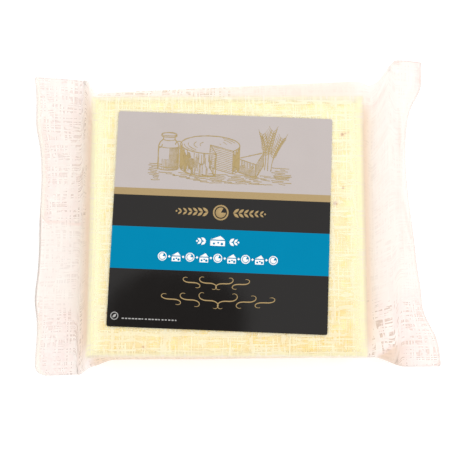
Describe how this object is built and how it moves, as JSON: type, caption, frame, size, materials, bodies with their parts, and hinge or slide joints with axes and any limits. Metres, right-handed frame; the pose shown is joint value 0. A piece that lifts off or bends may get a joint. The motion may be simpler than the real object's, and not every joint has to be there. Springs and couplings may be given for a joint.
{
  "type": "sealed film pack of cheddar cheese",
  "caption": "Square block of cheddar sealed in a clear film tube with a flat fin at each end and a square label on top.",
  "frame": {"origin": "on the back of the pack, under the centre of the cheese block", "axes": "+Z out of the labelled face, +X from the left fin to the right fin, +Y towards the pack's far side"},
  "size_m": [0.1559, 0.1221, 0.0215],
  "materials": {
    "film": "clear film printed with a white cloth weave over pale yellow cheese",
    "label": "half-gloss coated paper in bands of silver, gold, black and blue"
  },
  "bodies": {
    "root": {"film_pack": "film", "label": "label"}
  },
  "joints": []
}
